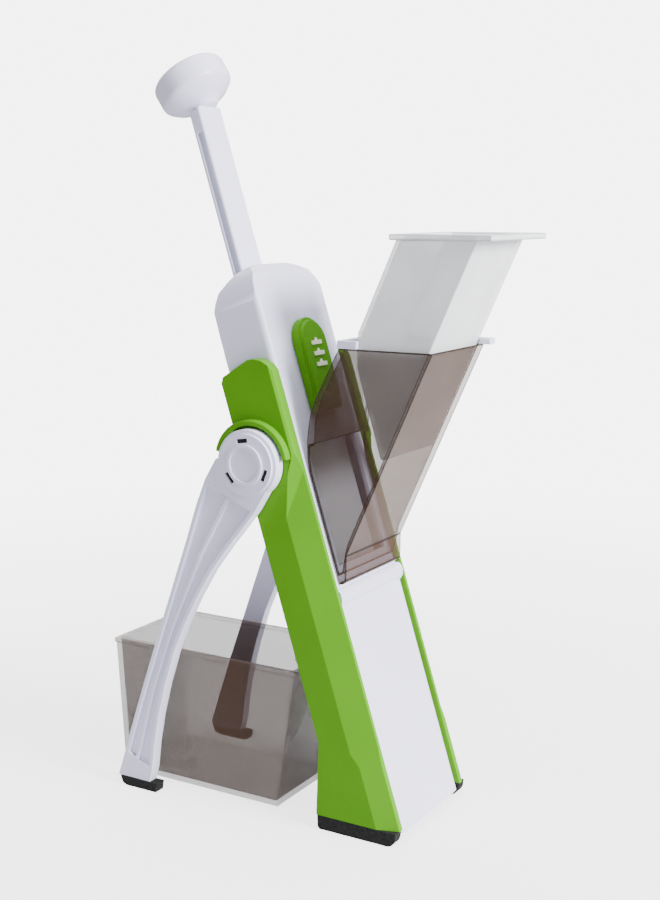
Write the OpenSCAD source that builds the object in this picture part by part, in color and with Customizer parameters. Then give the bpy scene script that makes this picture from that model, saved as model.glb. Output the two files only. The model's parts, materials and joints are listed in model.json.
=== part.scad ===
// Spring-return upright mandoline slicer. Millimetres, +Z up, feed chute towards -Y.

/* [Stand] */
// Angle that the body leans back, in degrees
lean = 17.6; // [14:0.1:21]
// Height of the rubber feet
foot_h = 8; // [6:0.5:10]
// Length of the foot of each side panel, front to back
foot_len = 48.5; // [44:0.5:54]

/* [Body] */
// Half the outer width of the white shell
shell_half = 34.2; // [33:0.1:40]
// Thickness of the shell walls
shell_wall = 2.2; // [1.6:0.1:2.4]
// Depth from the front face to the back of the cover
body_depth = 32; // [31:0.5:36]
// Length of the body up to the flat top
body_len = 318; // [312:1:330]
// Length of the green side panels
panel_len = 268; // [256:1:272]
// Width of each side panel, front strip plus flare
panel_w = 7.3; // [6:0.1:9]

/* [Plunger] */
// Width of the plunger shaft
shaft_w = 21; // [16:0.5:24]
// Thickness of the plunger shaft
shaft_t = 8; // [6:0.5:8]
// Length of the shaft above the body at rest
shaft_free = 95; // [94:1:115]
// Stroke of the plunger
stroke = 88; // [70:1:92]
// Radius of the palm knob
knob_r = 21; // [17:0.5:25]
// Angle of the palm knob to the shaft
knob_cant = 17; // [0:1:20]

/* [Feed] */
// Half the inside width of the feed window
window_half = 25; // [22:0.5:25.5]
// Half the outside width of the chute
chute_half = 31; // [29:0.5:34]
// Wall of the chute and of the pusher
chute_wall = 2; // [1.6:0.1:2.4]
// Slope of the chute from the vertical
chute_slope = 24.2; // [22:0.1:26]
// Gap between the pusher and the chute, all round
pusher_gap = 0.8; // [0.5:0.1:1.5]

/* [Legs] */
// Length of a folding leg from hinge to floor end
leg_len = 212; // [208:1:215]
// Thickness of a folding leg
leg_t = 6.8; // [5:0.1:9]
// Radius of the hub cap
hub_r = 16.5; // [13:0.5:17]
// Radius of the hinge axles
axle_r = 4; // [3:0.5:5]

/* [Container] */
// Length of the catch container at its rim
tray_len = 124.5; // [100:0.5:140]
// Half the width of the catch container at its rim
tray_half = 32.5; // [26:0.5:34]
// Height of the catch container
tray_h = 82; // [60:1:82]

/* [Hidden] */
$fn = 48;
gap = 0.3;      // between pieces that move past each other
run = 0.05;     // radial running clearance of pins
eps = 0.01;
s = sin(lean);
c = cos(lean);
front = -1.6;   // depth of the front face in the body's own frame
back = front + body_depth;
inner_half = shell_half - shell_wall;
panel_in = shell_half + 0.5;
panel_out = panel_in + panel_w;
edge_x = panel_in + 4.6;
hub_a = 22.5;   // depth and height of the hinge in the body's frame
hub_b = 215;
fence_in = hub_r + 3.5;
fence_out = fence_in + 3;
leg_x = panel_out + 0.6;
leg_open = lean + 21.7;
shaft_a = 22.5;
shaft_bot = 262;
shaft_top = body_len + shaft_free;
rod_x = 28.2;
rod_r = 1.5;
bush_r = 2.6;
yoke_b = 244;
arm_in = window_half + 0.6;
arm_out = inner_half - 0.6;
blade_b = 220;
blade_a = front + shell_wall + gap;
carr_a = blade_a + 0.8;
plate_a = 5.2;  // thickness plate: front face, thickness, ends
plate_t = 2;
plate_lo = 132;
win_lo = 150;
win_hi = 216;
cam_a = plate_a + plate_t + 7;
cam_b = 138;
cam_hi = 6.7;
plate_travel = 4;
cam_turn = 270;
rim_z = 260;
t = tan(chute_slope);
chute_y = -12.5;         // front of the chute rim
rim_back = 41.4;
pusher_half = chute_half - chute_wall - pusher_gap;
flange_z = 315.5;
flange_y0 = -44.5;
flange_y1 = 10.9;
flange_half = pusher_half + 6;
tray_y1 = 192;
tray_y0 = tray_y1 - tray_len;
shift = -(flange_y0 + tray_y1) / 2;
white = [0.93, 0.93, 0.97];
green = [0.42, 0.66, 0.22];
smoke = [0.28, 0.22, 0.19, 0.55];
frost = [0.87, 0.89, 0.91, 0.6];
black = [0.06, 0.06, 0.06];
steel = [0.75, 0.75, 0.78];
cream = [0.93, 0.95, 0.85];

// A body-frame depth and height as a place in the standing frame
function stand(a, b) = [a * c + b * s, b * c - a * s];
// The body-frame height at which a depth reaches a standing height
function at_z(a, z) = (z + a * s) / c;

module placed() {
    translate([0, shift, 0]) children();
}

module leaning() {
    placed() rotate([-lean, 0, 0]) children();
}

// A side view in depth and height, drawn out across the width
module across(x0, x1) {
    translate([x0, 0, 0]) rotate([90, 0, 90]) linear_extrude(x1 - x0) children();
}

module box(x0, x1, y0, y1, z0, z1) {
    translate([x0, y0, z0]) cube([x1 - x0, y1 - y0, z1 - z0]);
}

module pin(r, x0, x1) {
    translate([x0, 0, 0]) rotate([0, 90, 0]) cylinder(r = r, h = x1 - x0);
}

module both_sides() {
    children();
    mirror([1, 0, 0]) children();
}

// ---- body ----

module shell_side(d) {
    polygon([[front + d, at_z(front, foot_h) - 3 + d], [front + d, body_len - 20],
             [front + 3 + d, body_len - 6], [front + 9 + d, body_len - d],
             [15, body_len - 3 - d], [24 - d, body_len - 11 - d], [28 - d, body_len - 20 - d],
             [back - 2 - d, body_len - 34], [back - 2 - d, 24]]);
}

module shell_front(d) {
    w = shell_half - d;
    r = 21 - d;
    polygon(concat([[-w, 0], [w, 0]],
        [for (k = [0:15:90]) [w - r + r * cos(k), body_len - 21 + r * sin(k)]],
        [for (k = [90:15:180]) [-w + r + r * cos(k), body_len - 21 + r * sin(k)]]));
}

// The shell seen along its length, with soft corners at the front
module shell_plan() {
    w = shell_half;
    r = 3.4;
    polygon(concat([[w, back + 2], [-w, back + 2]],
        [for (k = [180:18:270]) [-w + r + r * cos(k), front + r + r * sin(k)]],
        [for (k = [270:18:360]) [w - r + r * cos(k), front + r + r * sin(k)]]));
}

module front_shell() {
    color(white) leaning() difference() {
        intersection() {
            across(-shell_half, shell_half) shell_side(0);
            translate([0, 0, -20]) linear_extrude(body_len + 40) shell_plan();
            rotate([90, 0, 0]) translate([0, 0, -back]) linear_extrude(body_depth + 2)
                shell_front(0);
        }
        intersection() {
            across(-inner_half, inner_half) polygon([
                [front + shell_wall, -5], [front + shell_wall, body_len - 21],
                [front + 9, body_len - 5], [15, body_len - 6], [22, body_len - 13],
                [26, body_len - 22], [27, body_len - 34], [back + 5, body_len - 40],
                [back + 5, -5]]);
            rotate([90, 0, 0]) translate([0, 0, -back - 10]) linear_extrude(body_depth + 20)
                polygon(concat([[-inner_half, -9], [inner_half, -9]],
                    [for (k = [0:15:90]) [inner_half - 19 + 19 * cos(k),
                                          body_len - 21 + 19 * sin(k)]],
                    [for (k = [90:15:180]) [19 - inner_half + 19 * cos(k),
                                            body_len - 21 + 19 * sin(k)]]));
        }
        box(-window_half, window_half, front - 1, front + 4, win_lo, win_hi);
        box(-shaft_w / 2 - 0.9, shaft_w / 2 + 0.9, shaft_a - shaft_t / 2 - 0.9,
            shaft_a + shaft_t / 2 + 0.9, 280, body_len + 5);
        translate([0, hub_a, hub_b]) pin(axle_r + run, -50, 50);
        translate([0, cam_a, cam_b]) pin(2.2 + run, 20, 50);
    }
    color(white) leaning() across(-shell_half, shell_half) ledge();
}

// The curved shelf under the chute
module ledge() {
    polygon([[front + 1, 139], [front + 1, 129], [front, 129.6], [front - 1.4, 131.4],
             [front - 2.2, 134], [front - 2, 136.6], [front - 0.8, 138.6]]);
}

module rear_cover() {
    color(white) leaning() difference() {
        box(-inner_half + 0.2, inner_half - 0.2, back - 2.4, back - 0.2, 130, body_len - 42);
        both_sides() for (b = [140, 272])
            translate([26, back, b]) rotate([90, 0, 0]) cylinder(r = 1.6, h = 10, center = true);
    }
}

module cover_screws() {
    color(steel) leaning() both_sides() for (b = [140, 272])
        translate([26, back - 0.15, b]) rotate([90, 0, 0]) difference() {
            union() {
                translate([0, 0, -1.6]) cylinder(r = 2.8, h = 1.6);
                cylinder(r = 1.5, h = 3.6);
            }
            translate([0, 0, -2]) cylinder(r = 1.1, h = 1.2, $fn = 6);
        }
}

module panel_outline() {
    lift = at_z(front - 1.4, foot_h);
    polygon([[-3, lift], [-3, panel_len - 9], [-1.2, panel_len - 5.5], [2, panel_len - 2.5],
             [6, panel_len - 0.6], [10, panel_len], [28, panel_len - 5], [30, panel_len - 8],
             [30, at_z(30, 49)], stand_back(foot_h)]);
}

// Where the upright back edge of the foot meets a standing height
function stand_back(z) = [foot_len * c - z * s, foot_len * s + z * c];

// The bevel along a panel's front, in steps up the body: how far back it runs, and how
// wide the flat strip beside it is
bevel_steps = [[-40, 8.5, 3.4], [45, 8.5, 3.4], [53, 12, 2.2], [182, 12, 2.2],
               [204, 4, 2.2], [214, -1.6, panel_w - 1.2], [340, -1.6, panel_w - 1.2]];

module front_bevel() {
    far = panel_out + 9;
    points = [for (k = bevel_steps) each
        [[panel_in + k[2], -3, k[0]], [panel_in + k[2], -12, k[0]], [far, -12, k[0]],
         [far, k[1], k[0]], [panel_out, k[1], k[0]]]];
    m = 5;
    last = len(bevel_steps) - 1;
    polyhedron(points, concat(
        [[for (j = [0:m - 1]) j]],
        [for (i = [0:last - 1]) for (j = [0:m - 1]) each
            [[i * m + j, (i + 1) * m + j, (i + 1) * m + (j + 1) % m],
             [i * m + j, (i + 1) * m + (j + 1) % m, i * m + (j + 1) % m]]],
        [[for (j = [m - 1:-1:0]) last * m + j]]));
}

module side_panel() {
    difference() {
        union() {
            difference() {
                across(panel_in, panel_out) panel_outline();
                front_bevel();
            }
            translate([panel_out - 0.5, hub_a, hub_b]) rotate([90, 0, 90])
                rotate([0, 0, 30]) rotate_extrude(angle = 158)
                    polygon([[fence_in, 0], [fence_out, 0], [fence_out, 4], [fence_out - 0.6, 4.6],
                             [fence_in + 0.6, 4.6], [fence_in, 4]]);
        }
        translate([0, hub_a, hub_b]) pin(axle_r + 0.01, 30, 60);
        translate([0, hub_a, hub_b]) pin(axle_r + 3.2, panel_in - 1, panel_in + 1.6);
    }
}

module side_panel_left() {
    color(green) leaning() mirror([1, 0, 0]) side_panel();
}

module side_panel_right() {
    color(green) leaning() difference() {
        side_panel();
        translate([0, cam_a, cam_b]) pin(2.2 + run, 30, 60);
    }
}

module foot() {
    a = stand(-3, at_z(-3, foot_h))[0];
    across(panel_in + 0.4, panel_out - 0.2) polygon([
        [a + 0.6, foot_h], [a + 0.9, 4.6], [a + 1.8, 2.4], [a + 3.4, 0.8], [a + 5.4, 0],
        [foot_len - 2, 0], [foot_len - 0.6, 1.2], [foot_len - 0.4, foot_h]]);
}

module foot_left() {
    color(black) placed() mirror([1, 0, 0]) foot();
}

module foot_right() {
    color(black) placed() foot();
}

module base_brace() {
    color(white) leaning() difference() {
        union() {
            box(-inner_half, inner_half, 5, 27, 26, 29);
            box(-inner_half, inner_half, 5, 8, 29, 40);
            both_sides() translate([rod_x, shaft_a, 29]) cylinder(r = 3.4, h = 7);
        }
        both_sides() translate([rod_x, shaft_a, 25]) cylinder(r = rod_r + run, h = 20);
    }
}

module top_brace() {
    color(white) leaning() difference() {
        box(-inner_half, inner_half, 14, 27.8, shaft_bot + gap, shaft_bot + 6);
        box(-shaft_w / 2 - gap, shaft_w / 2 + gap, shaft_a - shaft_t / 2 - gap,
            shaft_a + shaft_t / 2 + gap, 200, 300);
        both_sides() translate([rod_x, shaft_a, 200]) cylinder(r = rod_r + run, h = 100);
    }
}

module guide_rods() {
    color(steel) leaning() both_sides() translate([rod_x, shaft_a, 26])
        cylinder(r = rod_r, h = shaft_bot + 6 - 26);
}

module slice_ramp() {
    color(white) leaning() {
        across(-window_half + 0.2, window_half - 0.2) ramp_side(1.2, 43);
        both_sides() across(window_half - 0.2, inner_half) ramp_side(1.2, 18);
    }
}

// A sloping plate between two depths
module ramp_side(a0, a1) {
    polygon([[a0, 126 - a0 / 2], [a0, 123.7 - a0 / 2], [a1, 123.7 - a1 / 2], [a1, 126 - a1 / 2]]);
}

module plate_rail() {
    color(white) leaning() difference() {
        box(-inner_half, inner_half, cam_a + 1.8, cam_a + 4.8, plate_lo, plate_lo + 12);
        both_sides() translate([12, 0, cam_b]) rotate([-90, 0, 0])
            cylinder(r = 2 + run, h = 40);
        box(18.6, 25.4, 5, 30, plate_lo - 1, plate_lo + 14);
        translate([0, cam_a, cam_b]) pin(2.2 + run + gap, 15, 40);
    }
}

module hinge_axles() {
    color(steel) leaning() both_sides() translate([0, hub_a, hub_b]) {
        pin(axle_r, inner_half + 0.2, leg_x + leg_t - 1);
        pin(axle_r + 3, panel_in + 0.1, panel_in + 1.5);
    }
}

module axle_clips() {
    color(steel) leaning() both_sides() translate([0, hub_a, hub_b]) difference() {
        pin(axle_r + 2.4, leg_x + leg_t - 2.1, leg_x + leg_t - 1.2);
        pin(axle_r + 0.01, leg_x, leg_x + leg_t + 5);
    }
}

module shaft_bush() {
    color([0.75, 0.75, 0.8]) leaning() difference() {
        box(-shaft_w / 2 - 0.9, shaft_w / 2 + 0.9, shaft_a - shaft_t / 2 - 0.9,
            shaft_a + shaft_t / 2 + 0.9, 292, 306);
        box(-shaft_w / 2 - gap, shaft_w / 2 + gap, shaft_a - shaft_t / 2 - gap,
            shaft_a + shaft_t / 2 + gap, 280, 320);
    }
}

// One coil: a wire of five sides swept along a helix
module coil(r, wire, height, turns) {
    n = 14;
    m = 5;
    steps = n * turns;
    points = [for (i = [0:steps]) for (j = [0:m - 1])
        let (u = 360 * i / n, v = 360 * j / m)
        [(r + wire * cos(v)) * cos(u), (r + wire * cos(v)) * sin(u),
         wire + (height - 2 * wire) * i / steps + wire * sin(v)]];
    polyhedron(points, concat(
        [[for (j = [0:m - 1]) j]],
        [for (i = [0:steps - 1]) for (j = [0:m - 1])
            [i * m + j, (i + 1) * m + j, (i + 1) * m + (j + 1) % m, i * m + (j + 1) % m]],
        [[for (j = [m - 1:-1:0]) steps * m + j]]));
}

module return_springs() {
    color(steel) leaning() both_sides() translate([rod_x, shaft_a, 36.3])
        coil(2.5, 0.4, yoke_b - 3 - 36.6, 20);
}

// ---- plunger ----

module palm_knob() {
    color(white) leaning() translate([0, shaft_a, shaft_top + 2]) rotate([-knob_cant, 0, 0])
        rotate_extrude($fn = 96) polygon([
            [0, -5], [7, -5], [8.4, -3.2], [11, -1.4], [knob_r - 4.6, 1.2], [knob_r - 1.4, 4],
            [knob_r - 0.3, 5.6], [knob_r, 7.2], [knob_r, 15.4], [knob_r - 0.5, 17],
            [knob_r - 2, 18.4], [knob_r * 0.6, 20], [0, 20.8]]);
}

module plunger_shaft() {
    w = shaft_w / 2;
    h = shaft_t / 2;
    color(white) leaning() difference() {
        translate([0, shaft_a, shaft_bot - 14]) linear_extrude(shaft_top - shaft_bot + 14)
            polygon([[-w + 1, -h], [w - 1, -h], [w, -h + 1], [w, h - 1], [w - 1, h],
                     [-w + 1, h], [-w, h - 1], [-w, -h + 1]]);
        both_sides() box(w - 2, w + 1, shaft_a - 1.5, shaft_a + 1.7, shaft_bot + 8,
                         shaft_top - 16);
        translate([0, shaft_a, shaft_top + 2]) rotate([-knob_cant, 0, 0])
            translate([-40, -40, -5.1]) cube([80, 80, 60]);
    }
}

module blade_carriage() {
    w = shaft_w / 2;
    h = shaft_t / 2;
    color([0.85, 0.85, 0.9]) leaning() difference() {
        union() {
            box(-arm_out, arm_out, carr_a, carr_a + 1.9, 230, shaft_bot);
            both_sides() box(arm_in, arm_out, carr_a, 26.4, yoke_b, shaft_bot);
            box(-arm_out, arm_out, 17.4, 26.9, yoke_b, shaft_bot);
        }
        translate([0, shaft_a, 0]) box(-w - eps, w + eps, -h - eps, h + eps, shaft_bot - 14.01, 300);
        both_sides() translate([rod_x, shaft_a, 200]) cylinder(r = bush_r + eps, h = 100);
        for (x = [-22, 0, 22]) translate([x, 0, 234]) rotate([-90, 0, 0])
            cylinder(r = 1.1, h = 12);
    }
}

module v_blade() {
    color(steel) leaning() difference() {
        translate([0, blade_a + 0.8, 0]) rotate([90, 0, 0]) linear_extrude(0.8)
            polygon([[-arm_out, blade_b], [0, blade_b + 9], [arm_out, blade_b],
                     [arm_out, 238], [-arm_out, 238]]);
        for (x = [-22, 0, 22]) translate([x, 0, 234]) rotate([-90, 0, 0])
            cylinder(r = 1.1, h = 12, center = true);
    }
}

module blade_screws() {
    color(steel) leaning() for (x = [-22, 0, 22]) translate([x, 0, 234]) rotate([-90, 0, 0]) {
        translate([0, 0, blade_a + 0.1]) cylinder(r = 1.1, h = 3.2);
        translate([0, 0, carr_a + 1.9]) cylinder(r = 2, h = 0.7);
    }
}

module rod_bushes() {
    color([0.2, 0.2, 0.22]) leaning() both_sides() translate([rod_x, shaft_a, yoke_b - 3])
        difference() {
            cylinder(r = bush_r, h = shaft_bot - yoke_b + 3 - 0.2);
            translate([0, 0, -1]) cylinder(r = rod_r + run, h = 40);
        }
}

// ---- legs ----

// The leg's outline: along the leg, and across it towards the back
module leg_outline(d) {
    polygon([[4, -17 + d], [22, -13.9 + d], [34, -10.2 + d], [48, -5.6 + d], [66, -0.6 + d],
             [85, 2.6 + d], [104, 4.6 + d], [122, 5.2 + d], [144, 4 + d], [164, 1.6 + d],
             [181, -1.6 + d], [196, -5.4 + d], [leg_len + 12, -9.5 + d],
             [leg_len + 12, 14.2 - d], [205, 15 - d], [165, 17.2 - d], [123, 18.8 - d],
             [85, 19.8 - d], [58, 20.6 - d], [36, 21.6 - d], [20, 21.4 - d], [6, 19 - d]]);
}

module leg_frame() {
    translate([0, hub_a, hub_b]) rotate([leg_open, 0, 0]) children();
}

module leg_plate(d, x0, x1) {
    translate([x0, 0, 0]) rotate([0, 90, 0]) linear_extrude(x1 - x0) leg_outline(d);
}

module leg_side() {
    x1 = leg_x + leg_t;
    difference() {
        leg_frame() difference() {
            union() {
                leg_plate(0, leg_x, x1);
                pin(hub_r + 2, leg_x, x1);
            }
            intersection() {
                leg_plate(2.6, x1 - 2.2, x1 + 1);
                translate([x1 - 2.2, -60, -196]) cube([9, 120, 196 - hub_r - 6]);
            }
            pin(axle_r + run, leg_x - 1, x1 + 1);
            pin(axle_r + 3, x1 - 2.4, x1 + 1);
            pin(hub_r - 1.5, x1 - 0.8, x1 + 1);
        }
        rotate([lean, 0, 0]) box(leg_x - 1, x1 + 1, 0, 400, -30, 5.5);
    }
    // The rib down the middle of the recess
    leg_frame() intersection() {
        translate([x1 - 2.2, 0, 0]) rotate([0, 90, 0]) linear_extrude(1.7) polygon([
            [hub_r + 4, 3], [hub_r + 4, 5.5], [60, 10.8], [110, 12.8], [150, 12],
            [198, 7.6], [198, 5.4], [150, 10.2], [110, 11], [60, 8.6]]);
        leg_plate(2.6, x1 - 2.2, x1);
    }
}

module hub_cap() {
    x1 = leg_x + leg_t;
    leg_frame() difference() {
        union() {
            pin(hub_r - 1.6, x1 - 0.7, x1 + 0.6);
            pin(hub_r, x1 + 0.01, x1 + 1.6);
            difference() {
                pin(hub_r * 0.66, x1 + 1, x1 + 2.7);
                pin(hub_r * 0.56, x1 + 1, x1 + 5);
            }
        }
        for (k = [90, 210, 330]) rotate([k, 0, 0])
            box(x1 + 0.2, x1 + 5, -3.4, 3.4, hub_r * 0.7, hub_r * 0.84);
    }
}

module leg_pad() {
    f = stand(hub_a, hub_b);
    z = 5.5;
    y = f[0] + (f[1] - z) * tan(leg_open - lean);
    across(leg_x - 0.1, leg_x + leg_t + 0.3) polygon([
        [y - 12.4, z], [y - 11.4, 0], [y + 9.6, 0], [y + 12.6, 1.2], [y + 14.2, z]]);
}

module leg_left() {
    color(white) leaning() mirror([1, 0, 0]) leg_side();
}

module leg_right() {
    color(white) leaning() leg_side();
}

module hub_cap_left() {
    color(white) leaning() mirror([1, 0, 0]) hub_cap();
}

module hub_cap_right() {
    color(white) leaning() hub_cap();
}

module leg_foot_left() {
    color(black) placed() mirror([1, 0, 0]) leg_pad();
}

module leg_foot_right() {
    color(black) placed() leg_pad();
}

// ---- feed ----

seat = front - 0.4;      // the chute's back edge, just off the front face
function wall_y(z) = chute_y + (rim_z - z) * t;

module feed_chute() {
    low = stand(seat, 141);
    w = chute_wall;
    k = w / cos(chute_slope);
    color(smoke) placed() difference() {
        across(-chute_half, chute_half) polygon([
            [chute_y, rim_z], [rim_back, rim_z], stand(-16.8, 238), stand(-12.2, 232),
            stand(-9, 226), stand(-5.5, 218), stand(-3.2, 210), stand(seat, 203), low,
            stand(seat - 2, 140.4), stand(seat - 4.5, 141.6), [wall_y(151), 151]]);
        across(-chute_half + w, chute_half - w) polygon([
            [wall_y(rim_z + 5) + k, rim_z + 5], [rim_back - 2.25 - 2.6, rim_z + 5],
            stand(-18.8, 237), stand(-14.4, 230.6), stand(-11.3, 224.4), stand(-8, 216),
            stand(5, 216), stand(5, win_lo - 4), stand(-5, win_lo - 4), [wall_y(156) + k, 156]]);
    }
}

module chute_rim() {
    w = chute_half;
    color(white) placed() difference() {
        union() {
            box(-w - 0.6, w + 0.6, rim_back - 11, rim_back + 0.6, rim_z, rim_z + 4.2);
            box(w - 4, w + 2.6, chute_y - 5, chute_y + 5, rim_z, rim_z + 3.2);
            box(w - 2.2, w + 0.6, chute_y, rim_back, rim_z, rim_z + 2);
        }
        across(-w + chute_wall, w - chute_wall) polygon([
            [wall_y(rim_z - 1) + chute_wall + 0.2, rim_z - 1],
            [rim_back - 1.6, rim_z - 1], [rim_back - 4, rim_z + 6],
            [wall_y(rim_z + 6) + chute_wall + 0.2, rim_z + 6]]);
    }
}

module pusher_side(d) {
    k = chute_wall / cos(chute_slope) + pusher_gap / cos(chute_slope);
    polygon([[wall_y(flange_z + 4 * d) + k + d, flange_z + 4 * d],
             [9.9 - d - 1.8 * d, flange_z + 4 * d],
             [31.5 - d, 268], [31.9 - d, 250], [18.1 - d / 2, 204 + 2.4 * d],
             [wall_y(203.2 + 3 * d) + k + d, 203.2 + 3 * d]]);
}

module food_pusher() {
    w = 1.6;
    color(frost) placed() difference() {
        across(-pusher_half, pusher_half) pusher_side(0);
        across(-pusher_half + w, pusher_half - w) pusher_side(w);
    }
}

module pusher_flange() {
    w = 1.6;
    k = (chute_wall + pusher_gap) / cos(chute_slope);
    color(frost) placed() difference() {
        box(-flange_half, flange_half, flange_y0, flange_y1, flange_z, flange_z + 3);
        box(-pusher_half + w, pusher_half - w, wall_y(flange_z) + k + w, 9.9 - 2.6 * w,
            flange_z - 1, flange_z + 5);
    }
}

module lock_outline(w, b0, b1) {
    polygon(concat([[-w, b0], [w, b0]],
        [for (k = [0:15:180]) [w * cos(k), b1 - w + w * sin(k)]]));
}

module chute_lock() {
    color(green) leaning() {
        translate([0, front - gap, 0]) rotate([90, 0, 0]) linear_extrude(4.4)
            lock_outline(13.5, 232, 284);
        translate([0, front - gap - 4.3, 0]) rotate([90, 0, 0]) linear_extrude(2)
            lock_outline(11.5, 238, 282);
    }
}

module lock_grips() {
    color(cream) leaning() {
        for (b = [256, 262, 268])
            translate([0, front - gap - 6.3, b]) rotate([90, 0, 0]) linear_extrude(0.8)
                polygon([[-5, 0], [5, 0], [5, 2.2], [1.4, 2.2], [0, 4], [-1.4, 2.2], [-5, 2.2]]);
    }
}

// ---- container ----

module tray(d, z0, z1) {
    x1 = tray_half - d;
    hull() {
        box(-x1 + 3, x1 - 3, tray_y0 + 14 + d, tray_y1 - 3 - d, z0, z0 + eps);
        box(-x1, x1, tray_y0 + d, tray_y1 - d, z1, z1 + eps);
    }
}

module catch_container() {
    color(smoke) placed() difference() {
        union() {
            tray(0, 0, tray_h - eps);
            box(-tray_half - 1.2, tray_half + 1.2, tray_y0, tray_y1, tray_h - 2.6, tray_h);
        }
        tray(2, 2.2, tray_h + 3);
    }
}

// ---- thickness setting ----

function scroll(k) = k <= cam_turn ? cam_hi - plate_travel * k / cam_turn
    : k < cam_turn + 60 ? cam_hi - plate_travel : cam_hi - plate_travel * (360 - k) / 30;

module cam_shaft() {
    color(steel) leaning() translate([0, cam_a, cam_b]) {
        pin(2.2, 19, panel_out + 0.9);
        translate([20, 0, 0]) rotate([90, 0, 90]) linear_extrude(4) polygon([
            for (k = [0:9:351]) scroll(k) * [-cos(k), sin(k)]]);
    }
}

module thickness_dial() {
    color(white) leaning() translate([0, cam_a, cam_b]) difference() {
        union() {
            pin(8.5, panel_out + gap, panel_out + 3);
            for (k = [0:60:120]) rotate([k, 0, 0])
                box(panel_out + 2.9, panel_out + 6.4, -1.6, 1.6, -7, 7);
            pin(5.4, panel_out + 2.9, panel_out + 6.4);
        }
        pin(2.21, panel_out - 1, panel_out + 0.91);
    }
}

module thickness_plate() {
    color([0.85, 0.85, 0.9]) leaning() difference() {
        box(-window_half + 0.4, window_half - 0.4, plate_a, plate_a + plate_t, plate_lo, 218);
        both_sides() translate([12, 0, cam_b]) rotate([-90, 0, 0])
            translate([0, 0, plate_a + 1]) cylinder(r = 2.01, h = 9);
    }
}

module plate_pins() {
    color(steel) leaning() both_sides() translate([12, plate_a + 1, cam_b]) rotate([-90, 0, 0])
        cylinder(r = 2, h = 17);
}

front_shell();
rear_cover();
side_panel_left();
side_panel_right();
foot_left();
foot_right();
guide_rods();
base_brace();
top_brace();
slice_ramp();
plate_rail();
hinge_axles();
axle_clips();
cover_screws();
shaft_bush();
return_springs();
palm_knob();
plunger_shaft();
blade_carriage();
v_blade();
blade_screws();
rod_bushes();
leg_left();
hub_cap_left();
leg_foot_left();
leg_right();
hub_cap_right();
leg_foot_right();
feed_chute();
chute_rim();
food_pusher();
pusher_flange();
chute_lock();
lock_grips();
catch_container();
thickness_dial();
cam_shaft();
thickness_plate();
plate_pins();
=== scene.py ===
"""Finishes and detail for an upright mandoline slicer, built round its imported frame."""

import json
import math

import bpy
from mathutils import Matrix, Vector


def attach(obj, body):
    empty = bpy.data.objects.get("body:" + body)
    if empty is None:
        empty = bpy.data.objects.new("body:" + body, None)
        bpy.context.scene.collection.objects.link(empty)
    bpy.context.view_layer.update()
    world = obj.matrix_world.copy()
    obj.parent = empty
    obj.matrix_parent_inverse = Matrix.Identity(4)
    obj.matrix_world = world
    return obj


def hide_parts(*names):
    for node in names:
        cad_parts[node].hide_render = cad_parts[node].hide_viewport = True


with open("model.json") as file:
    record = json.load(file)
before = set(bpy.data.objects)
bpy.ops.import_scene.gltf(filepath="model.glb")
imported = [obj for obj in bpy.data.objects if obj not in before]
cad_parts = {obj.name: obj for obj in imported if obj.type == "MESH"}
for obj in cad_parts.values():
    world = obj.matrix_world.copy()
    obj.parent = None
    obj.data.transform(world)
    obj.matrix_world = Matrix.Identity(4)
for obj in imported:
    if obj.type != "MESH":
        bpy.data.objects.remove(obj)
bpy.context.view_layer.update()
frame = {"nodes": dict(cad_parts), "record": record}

bl_info = {
    "name": "Mandoline Slicer",
    "version": (1, 0, 0),
    "blender": (4, 5, 0),
    "location": "View3D > Sidebar > Slicer",
    "description": "Finishes and details an upright mandoline slicer",
    "category": "Add Mesh",
}

MM = 0.001
BODY_OF = {n: b for b, names in frame["record"]["behaviour"]["bodies"].items() for n in names}
SLOT_OF = {p["node"]: p["material_slot"] for p in frame["record"]["subparts"]}
JOINT = {j["name"]: j for j in frame["record"]["behaviour"]["joints"]}
FINISHES = {}  # this script's own materials: the frame has others of the same names


# The slots of a hub cap: how far out from the hinge they stand, the turn of the first one
# from upright, how far across the body their middle is, and the size of the thin black block
# of painted shade that stands for the shadow inside each
SLOT_REACH = 12.7 * MM
SLOT_START = 90 + 21.7
SLOT_ACROSS = 49.75 * MM
SLOT_SHADE_SIZE = (0.5 * MM, 6.6 * MM, 2.1 * MM)

# How opaque the floor is under the object, and where it starts and ends fading out
FLOOR_COVER = 0.55
FLOOR_FADE = (0.15, 0.95)

CAMERA_AT = (-0.6424, -0.3908, 0.333)
CAMERA_DOWN = 10.07
CAMERA_ROUND = -59.28

# Each lamp: its name, its place, what it faces, its width and its power
LAMPS = (("key", (-0.1, -2.0, 1.0), (0, 0, 0.2), 0.8, 150),
         ("rear", (1.0, 1.5, 1.2), (0, 0, 0.2), 1.2, 16),
         ("top", (0.3, 0.2, 2.6), (0, 0, 0), 2.6, 90))


# ---- sizes and colours ----


class SlicerShape(bpy.types.PropertyGroup):
    shell_edge: bpy.props.FloatProperty(
        name="Shell Edge", description="Radius on the edges of the white mouldings",
        default=0.9 * MM, min=0.1 * MM, max=1.5 * MM, unit="LENGTH")
    panel_edge: bpy.props.FloatProperty(
        name="Panel Edge", description="Radius on the edges of the green panels",
        default=0.8 * MM, min=0.1 * MM, max=1.5 * MM, unit="LENGTH")
    clear_edge: bpy.props.FloatProperty(
        name="Clear Edge", description="Radius on the edges of the clear walls",
        default=0.5 * MM, min=0.1 * MM, max=0.8 * MM, unit="LENGTH")
    small_edge: bpy.props.FloatProperty(
        name="Small Edge", description="Radius on the edges of small parts",
        default=0.35 * MM, min=0.05 * MM, max=0.6 * MM, unit="LENGTH")


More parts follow.
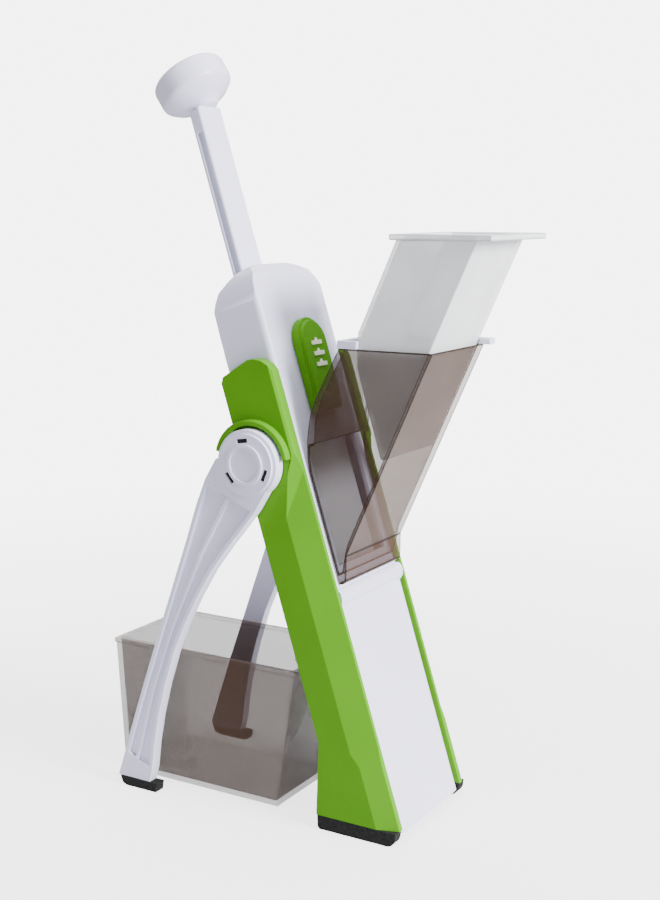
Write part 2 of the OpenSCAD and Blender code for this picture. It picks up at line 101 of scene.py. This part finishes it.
class SlicerColours(bpy.types.PropertyGroup):
    white: bpy.props.FloatVectorProperty(
        name="White", description="Colour of the white plastic", subtype="COLOR",
        default=(0.76, 0.75, 0.93), min=0, max=1)
    green: bpy.props.FloatVectorProperty(
        name="Green", description="Colour of the green plastic", subtype="COLOR",
        default=(0.090, 0.29, 0.010), min=0, max=1)
    smoke: bpy.props.FloatVectorProperty(
        name="Smoke", description="Tint of the smoked plastic", subtype="COLOR",
        default=(0.080, 0.040, 0.024), min=0, max=1)
    frost: bpy.props.FloatVectorProperty(
        name="Frost", description="Colour of the frosted plastic", subtype="COLOR",
        default=(0.90, 0.92, 0.95), min=0, max=1)
    floor: bpy.props.FloatVectorProperty(
        name="Floor", description="Colour of the floor", subtype="COLOR",
        default=(0.93, 0.93, 0.94), min=0, max=1)


def shape():
    return bpy.context.scene.slicer_shape


def colours():
    return bpy.context.scene.slicer_colours


# ---- materials ----


def new_material(name):
    """A material with a Principled shader, and the object's own coordinates to read."""
    mat = bpy.data.materials.new(name)
    mat.use_nodes = True
    tree = mat.node_tree
    shader = tree.nodes["Principled BSDF"]
    coords = tree.nodes.new("ShaderNodeTexCoord")
    return mat, tree, shader, coords


def noise(tree, coords, scale, detail=4.0):
    n = tree.nodes.new("ShaderNodeTexNoise")
    n.inputs["Scale"].default_value = scale
    n.inputs["Detail"].default_value = detail
    tree.links.new(coords.outputs["Object"], n.inputs["Vector"])
    return n


def ramp(tree, source, low, high, start=0.3, end=0.7):
    """Turns a 0 to 1 pattern into a band between two values or colours."""
    r = tree.nodes.new("ShaderNodeValToRGB")
    r.color_ramp.elements[0].position = start
    r.color_ramp.elements[1].position = end
    r.color_ramp.elements[0].color = low
    r.color_ramp.elements[1].color = high
    tree.links.new(source, r.inputs["Fac"])
    return r.outputs["Color"]


def bump(tree, shader, source, strength, distance):
    b = tree.nodes.new("ShaderNodeBump")
    b.inputs["Strength"].default_value = strength
    b.inputs["Distance"].default_value = distance
    tree.links.new(source, b.inputs["Height"])
    tree.links.new(b.outputs["Normal"], shader.inputs["Normal"])


def grey(v):
    return (v, v, v, 1)


def tone(colour, f):
    return tuple(min(1, c * f) for c in colour) + (1,)


def moulded(name, colour, rough=0.32, vary=0.05, grain=0.1, spread=0.05, sss=0.0, shine=0.5):
    """Moulded plastic: faint mottling, a fine grain and uneven gloss."""
    mat, tree, shader, coords = new_material(name)
    cloud = noise(tree, coords, 22)
    fine = noise(tree, coords, 2600, 2)
    tree.links.new(ramp(tree, cloud.outputs["Fac"], tone(colour, 1 - vary), tone(colour, 1 + vary)),
                   shader.inputs["Base Color"])
    smear = noise(tree, coords, 90)
    tree.links.new(ramp(tree, smear.outputs["Fac"], grey(rough - spread), grey(rough + spread)),
                   shader.inputs["Roughness"])
    bump(tree, shader, fine.outputs["Fac"], grain, 0.04 * MM)
    shader.inputs["Specular IOR Level"].default_value = shine
    if sss:
        shader.inputs["Subsurface Weight"].default_value = sss
        shader.inputs["Subsurface Radius"].default_value = (0.004, 0.004, 0.005)
        shader.inputs["Subsurface Scale"].default_value = 0.4
    return mat


def clear(name, colour, alpha, rough, edge, grain=0.03, shine=0.3):
    """See-through plastic that thickens in tint where it turns edge on."""
    mat, tree, shader, coords = new_material(name)
    cloud = noise(tree, coords, 30)
    tree.links.new(ramp(tree, cloud.outputs["Fac"], tone(colour, 0.9), tone(colour, 1.1)),
                   shader.inputs["Base Color"])
    turn = tree.nodes.new("ShaderNodeLayerWeight")
    turn.inputs["Blend"].default_value = 0.35
    tree.links.new(ramp(tree, turn.outputs["Facing"], grey(alpha), grey(edge), 0.25, 0.95),
                   shader.inputs["Alpha"])
    smear = noise(tree, coords, 60)
    tree.links.new(ramp(tree, smear.outputs["Fac"], grey(rough * 0.8), grey(rough * 1.2)),
                   shader.inputs["Roughness"])
    ripple = noise(tree, coords, 40, 1)
    bump(tree, shader, ripple.outputs["Fac"], grain, 0.1 * MM)
    shader.inputs["IOR"].default_value = 1.49
    shader.inputs["Specular IOR Level"].default_value = shine
    return mat


def brushed(name, colour, rough=0.28):
    """Drawn steel with fine lines along the body's height."""
    mat, tree, shader, coords = new_material(name)
    place = tree.nodes.new("ShaderNodeMapping")
    place.inputs["Scale"].default_value = (900, 900, 20)
    tree.links.new(coords.outputs["Object"], place.inputs["Vector"])
    lines = tree.nodes.new("ShaderNodeTexNoise")
    lines.inputs["Scale"].default_value = 1
    tree.links.new(place.outputs["Vector"], lines.inputs["Vector"])
    tree.links.new(ramp(tree, lines.outputs["Fac"], tone(colour, 0.85), tone(colour, 1.1)),
                   shader.inputs["Base Color"])
    tree.links.new(ramp(tree, lines.outputs["Fac"], grey(rough - 0.08), grey(rough + 0.1)),
                   shader.inputs["Roughness"])
    shader.inputs["Metallic"].default_value = 1
    return mat


def rubber(name):
    mat, tree, shader, coords = new_material(name)
    speck = noise(tree, coords, 900, 3)
    tree.links.new(ramp(tree, speck.outputs["Fac"], grey(0.012), grey(0.03)),
                   shader.inputs["Base Color"])
    shader.inputs["Roughness"].default_value = 0.7
    shader.inputs["Specular IOR Level"].default_value = 0.08
    bump(tree, shader, speck.outputs["Fac"], 0.3, 0.1 * MM)
    return mat


def make_materials():
    c = colours()
    white, green = tuple(c.white), tuple(c.green)
    return {
        "white_plastic": moulded("white_plastic", white, 0.34, 0.02, 0.06, 0.05, 0.12),
        "green_plastic": moulded("green_plastic", green, 0.3, 0.05, 0.08, 0.04, 0.0, 0.04),
        "grey_plastic": moulded("grey_plastic", (0.55, 0.55, 0.6), 0.42, 0.05, 0.1),
        "dark_bush": moulded("dark_bush", (0.03, 0.03, 0.035), 0.4, 0.2, 0.1),
        "cream_mark": moulded("cream_mark", (0.86, 0.90, 0.66), 0.4, 0.03, 0.06),
        "black_rubber": rubber("black_rubber"),
        "steel": brushed("steel", (0.62, 0.62, 0.65)),
        "smoke_clear": clear("smoke_clear", tuple(c.smoke), 0.40, 0.05, 0.95, 0.03, 0.2),
        "smoke_deep": clear("smoke_deep", tuple(c.smoke), 0.52, 0.05, 0.95, 0.0, 0.2),
        # The two edge finishes below are painted shade: darker copies of the smoke and the frost, laid
        # on the rounded edges of clear walls for the dark lines that light draws there.
        "smoke_edge_shade": clear("smoke_edge_shade", tone(tuple(c.smoke), 0.25)[:3], 0.85, 0.3, 0.97, 0.03, 0.08),
        "frosted_clear": clear("frosted_clear", tuple(c.frost), 0.62, 0.38, 0.9, 0.1),
        "frosted_edge_shade": clear("frosted_edge_shade", tone(tuple(c.frost), 0.72)[:3], 0.85, 0.3, 0.95, 0.1),
    }


# ---- working on meshes ----


def deselect():
    if bpy.context.mode != "OBJECT":
        bpy.ops.object.mode_set(mode="OBJECT")
    bpy.ops.object.select_all(action="DESELECT")


def activate(obj):
    deselect()
    obj.select_set(True)
    bpy.context.view_layer.objects.active = obj


def cad_copy(node, name, join=True):
    """A welded copy of a frame node's mesh, with its flat faces joined up."""
    source = frame["nodes"][node]
    activate(source)
    bpy.ops.object.duplicate()
    piece = bpy.context.view_layer.objects.active
    piece.name = name
    piece.data.name = name
    piece.parent = None
    for key in list(piece.keys()):
        if key.startswith("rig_"):
            del piece[key]
    activate(piece)
    bpy.ops.object.mode_set(mode="EDIT")
    bpy.ops.mesh.select_all(action="SELECT")
    bpy.ops.mesh.remove_doubles(threshold=0.004 * MM)
    if join:
        bpy.ops.mesh.dissolve_limited(angle_limit=math.radians(0.6))
    bpy.ops.object.mode_set(mode="OBJECT")
    return piece


def bevel(piece, width, segments=3, angle=28, finish=-1):
    activate(piece)
    b = piece.modifiers.new("edge_radius", "BEVEL")
    # finish is the material slot of the new edge faces; refine_clear puts its painted-shade edge
    # material there.
    b.material = finish
    b.width = width
    b.segments = segments
    b.limit_method = "ANGLE"
    b.angle_limit = math.radians(angle)
    b.use_clamp_overlap = True
    b.harden_normals = False
    bpy.ops.object.modifier_apply(modifier=b.name)


def smooth(piece, angle=35):
    activate(piece)
    bpy.ops.object.shade_smooth_by_angle(angle=math.radians(angle))
    flat = piece.modifiers.new("flat_faces", "WEIGHTED_NORMAL")
    flat.keep_sharp = True
    bpy.ops.object.modifier_apply(modifier=flat.name)


def dress(piece, material, body):
    piece.data.materials.clear()
    piece.data.materials.append(FINISHES[material])
    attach(piece, body)


def refine_clear(node, width, segments, angle, edge, face=None):
    """Rounds a clear moulding and paints shade on its rounded edges, with a darker copy of its tint.
    """
    piece = cad_copy(node, node + "_moulding")
    piece.data.materials.clear()
    piece.data.materials.append(FINISHES[face or SLOT_OF[node]])
    piece.data.materials.append(FINISHES[edge])
    # The rounded edge faces take the second material, the painted shade.
    bevel(piece, width, segments, angle, 1)
    smooth(piece, 35)
    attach(piece, BODY_OF[node])
    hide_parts(node)
    return piece


def refine(node, width, segments=3, angle=28, smooth_angle=35, join=True):
    """Stands a node's moulding in for it, with its edges rounded."""
    piece = cad_copy(node, node + "_moulding", join)
    bevel(piece, width, segments, angle)
    smooth(piece, smooth_angle)
    dress(piece, SLOT_OF[node], BODY_OF[node])
    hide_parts(node)
    return piece


# ---- operators ----


class SLICER_OT_materials(bpy.types.Operator):
    """Make the finishes and give each frame node its own"""
    bl_idname = "slicer.materials"
    bl_label = "Finishes"

    def execute(self, context):
        FINISHES.update(make_materials())
        for node, obj in frame["nodes"].items():
            obj.data.materials.clear()
            obj.data.materials.append(FINISHES[SLOT_OF[node]])
        return {"FINISHED"}


class SLICER_OT_shell(bpy.types.Operator):
    """Round the white body mouldings"""
    bl_idname = "slicer.shell"
    bl_label = "Body Shell"

    def execute(self, context):
        refine("front_shell", shape().shell_edge, 4)
        for node in ("rear_cover", "slice_ramp", "base_brace"):
            refine(node, shape().small_edge, 2)
        return {"FINISHED"}


class SLICER_OT_panels(bpy.types.Operator):
    """Round the green side panels and the chute lock"""
    bl_idname = "slicer.panels"
    bl_label = "Side Panels"

    def execute(self, context):
        for node in ("side_panel_left", "side_panel_right"):
            refine(node, shape().panel_edge, 3, 12, 30)
        refine("chute_lock", shape().panel_edge, 3)
        refine("lock_grips", 0.2 * MM, 2)
        return {"FINISHED"}


class SLICER_OT_plunger(bpy.types.Operator):
    """Round the knob and the plunger shaft"""
    bl_idname = "slicer.plunger"
    bl_label = "Plunger"

    def execute(self, context):
        refine("palm_knob", shape().shell_edge, 3, 30, 40)
        refine("plunger_shaft", shape().small_edge, 2, 40)
        return {"FINISHED"}


def freeze(piece):
    """Puts a piece's place, turn and scale into its mesh."""
    activate(piece)
    bpy.ops.object.transform_apply(location=True, rotation=True, scale=True)


def block(name, at, size, turn):
    """A small block turned about X, with its place kept in its mesh."""
    bpy.ops.mesh.primitive_cube_add(size=1, location=at, rotation=(turn, 0, 0))
    piece = bpy.context.object
    piece.name = piece.data.name = name
    piece.scale = size
    freeze(piece)
    return piece


def shade_hub_slots(side):
    """Painted shade in the three slots of a hub cap: a thin black block stands for the shadow inside
    each.
    """
    way = -1 if side == "left" else 1
    hub = Vector(JOINT[side + "_leg_fold"]["pos_m"])
    for k in range(3):
        turn = math.radians(SLOT_START + 120 * k)
        out = Vector((0, -math.sin(turn), math.cos(turn))) * SLOT_REACH
        slot = block(f"hub_slot_shade_{side}_{k + 1}", hub + out + Vector((way * SLOT_ACROSS, 0, 0)),
                     SLOT_SHADE_SIZE, turn)
        # The black rubber here is painted shade, not a part: it darkens the slot where its shadow
        # falls.
        dress(slot, "black_rubber", side + "_leg")


class SLICER_OT_legs(bpy.types.Operator):
    """Round the legs, their caps and all the rubber feet"""
    bl_idname = "slicer.legs"
    bl_label = "Legs"

    def execute(self, context):
        for side in ("left", "right"):
            refine("leg_" + side, 0.6 * MM, 3, 32, 38)
            refine("hub_cap_" + side, 0.3 * MM, 2, 50, 40, False)
            refine("leg_foot_" + side, shape().small_edge, 2)
            refine("foot_" + side, shape().small_edge, 2)
            # Painted shade: black blocks in the cap slots stand for the shadow inside them.
            shade_hub_slots(side)
        return {"FINISHED"}


class SLICER_OT_feed(bpy.types.Operator):
    """Round the chute, its rim, and the pusher"""
    bl_idname = "slicer.feed"
    bl_label = "Feed"

    def execute(self, context):
        # Each clear part's rounded edges get painted shade, a darker copy of its tint.
        refine_clear("feed_chute", 0.75 * MM, 3, 20, "smoke_edge_shade")
        refine("chute_rim", shape().small_edge, 2)
        refine_clear("food_pusher", shape().clear_edge, 3, 14, "frosted_edge_shade")
        refine_clear("pusher_flange", 0.7 * MM, 3, 30, "frosted_edge_shade")
        return {"FINISHED"}


class SLICER_OT_container(bpy.types.Operator):
    """Round the catch container"""
    bl_idname = "slicer.container"
    bl_label = "Container"

    def execute(self, context):
        # The container's rounded edges get painted shade, a darker copy of the smoke.
        refine_clear("catch_container", 0.45 * MM, 3, 20, "smoke_edge_shade", "smoke_deep")
        return {"FINISHED"}


class SLICER_OT_dial(bpy.types.Operator):
    """Round the thickness dial"""
    bl_idname = "slicer.dial"
    bl_label = "Thickness Dial"

    def execute(self, context):
        refine("thickness_dial", 0.5 * MM, 3)
        return {"FINISHED"}


def fade_out(tree, shader, coords):
    """Thins a floor out with distance, so that it has no edge."""
    away = tree.nodes.new("ShaderNodeVectorMath")
    away.operation = "LENGTH"
    tree.links.new(coords.outputs["Object"], away.inputs[0])
    edge = tree.nodes.new("ShaderNodeMapRange")
    edge.interpolation_type = "SMOOTHSTEP"
    edge.inputs["From Min"].default_value = FLOOR_FADE[0]
    edge.inputs["From Max"].default_value = FLOOR_FADE[1]
    edge.inputs["To Min"].default_value = FLOOR_COVER
    edge.inputs["To Max"].default_value = 0
    tree.links.new(away.outputs["Value"], edge.inputs["Value"])
    tree.links.new(edge.outputs["Result"], shader.inputs["Alpha"])


def lay_floor():
    bpy.ops.mesh.primitive_plane_add(size=3, location=(0, 0, 0))
    floor = bpy.context.object
    floor.name = "floor"
    mat, tree, shader, coords = new_material("floor_paper")
    soft = noise(tree, coords, 3)
    c = tuple(colours().floor)
    tree.links.new(ramp(tree, soft.outputs["Fac"], tone(c, 0.995), tone(c, 1.0)),
                   shader.inputs["Base Color"])
    shader.inputs["Roughness"].default_value = 0.9
    shader.inputs["Specular IOR Level"].default_value = 0.1
    fade_out(tree, shader, coords)
    floor.data.materials.append(mat)


def light_the_room():
    """A soft glow all round, with white paper behind it for the camera."""
    world = bpy.data.worlds.new("studio")
    world.use_nodes = True
    sky = world.node_tree
    glow = sky.nodes["Background"]
    glow.inputs["Color"].default_value = (0.95, 0.97, 1, 1)
    glow.inputs["Strength"].default_value = 0.62
    paper = sky.nodes.new("ShaderNodeBackground")
    paper.inputs["Strength"].default_value = 7.5
    seen = sky.nodes.new("ShaderNodeLightPath")
    either = sky.nodes.new("ShaderNodeMixShader")
    sky.links.new(seen.outputs["Is Camera Ray"], either.inputs["Fac"])
    sky.links.new(glow.outputs["Background"], either.inputs[1])
    sky.links.new(paper.outputs["Background"], either.inputs[2])
    sky.links.new(either.outputs["Shader"], sky.nodes["World Output"].inputs["Surface"])
    bpy.context.scene.world = world


def hang_lamps():
    for name, at, aim, size, power in LAMPS:
        light = bpy.data.lights.new(name, "AREA")
        light.size = size
        light.energy = power
        lamp = bpy.data.objects.new(name, light)
        bpy.context.scene.collection.objects.link(lamp)
        lamp.location = at
        lamp.rotation_euler = (Vector(aim) - Vector(at)).to_track_quat("-Z", "Y").to_euler()


def set_camera():
    cam_data = bpy.data.cameras.new("camera")
    cam_data.lens = 55.4
    cam_data.sensor_width = 36
    cam_data.clip_end = 60
    cam = bpy.data.objects.new("camera", cam_data)
    bpy.context.scene.collection.objects.link(cam)
    cam.location = CAMERA_AT
    cam.rotation_euler = (math.radians(90 - CAMERA_DOWN), 0, math.radians(CAMERA_ROUND))
    bpy.context.scene.camera = cam


class SLICER_OT_stage(bpy.types.Operator):
    """Lay the floor, hang the lights and set the camera"""
    bl_idname = "slicer.stage"
    bl_label = "Stage"

    def execute(self, context):
        deselect()
        lay_floor()
        light_the_room()
        hang_lamps()
        set_camera()
        return {"FINISHED"}


class SLICER_PT_panel(bpy.types.Panel):
    bl_label = "Mandoline Slicer"
    bl_idname = "SLICER_PT_panel"
    bl_space_type = "VIEW_3D"
    bl_region_type = "UI"
    bl_category = "Slicer"

    def draw(self, context):
        for group in (context.scene.slicer_shape, context.scene.slicer_colours):
            for name in group.__annotations__:
                self.layout.prop(group, name)
        for op in OPERATORS:
            self.layout.operator(op.bl_idname)


OPERATORS = (SLICER_OT_materials, SLICER_OT_shell, SLICER_OT_panels, SLICER_OT_plunger,
             SLICER_OT_legs, SLICER_OT_feed, SLICER_OT_container, SLICER_OT_dial,
             SLICER_OT_stage)
CLASSES = (SlicerShape, SlicerColours) + OPERATORS + (SLICER_PT_panel,)


def register():
    for cls in CLASSES:
        bpy.utils.register_class(cls)
    bpy.types.Scene.slicer_shape = bpy.props.PointerProperty(type=SlicerShape)
    bpy.types.Scene.slicer_colours = bpy.props.PointerProperty(type=SlicerColours)


def unregister():
    del bpy.types.Scene.slicer_colours
    del bpy.types.Scene.slicer_shape
    for cls in reversed(CLASSES):
        bpy.utils.unregister_class(cls)


def main():
    register()
    bpy.ops.slicer.materials()
    bpy.ops.slicer.shell()
    bpy.ops.slicer.panels()
    bpy.ops.slicer.plunger()
    bpy.ops.slicer.legs()
    bpy.ops.slicer.feed()
    bpy.ops.slicer.container()
    bpy.ops.slicer.dial()
    bpy.ops.slicer.stage()
    deselect()


if __name__ == "__main__":
    main()
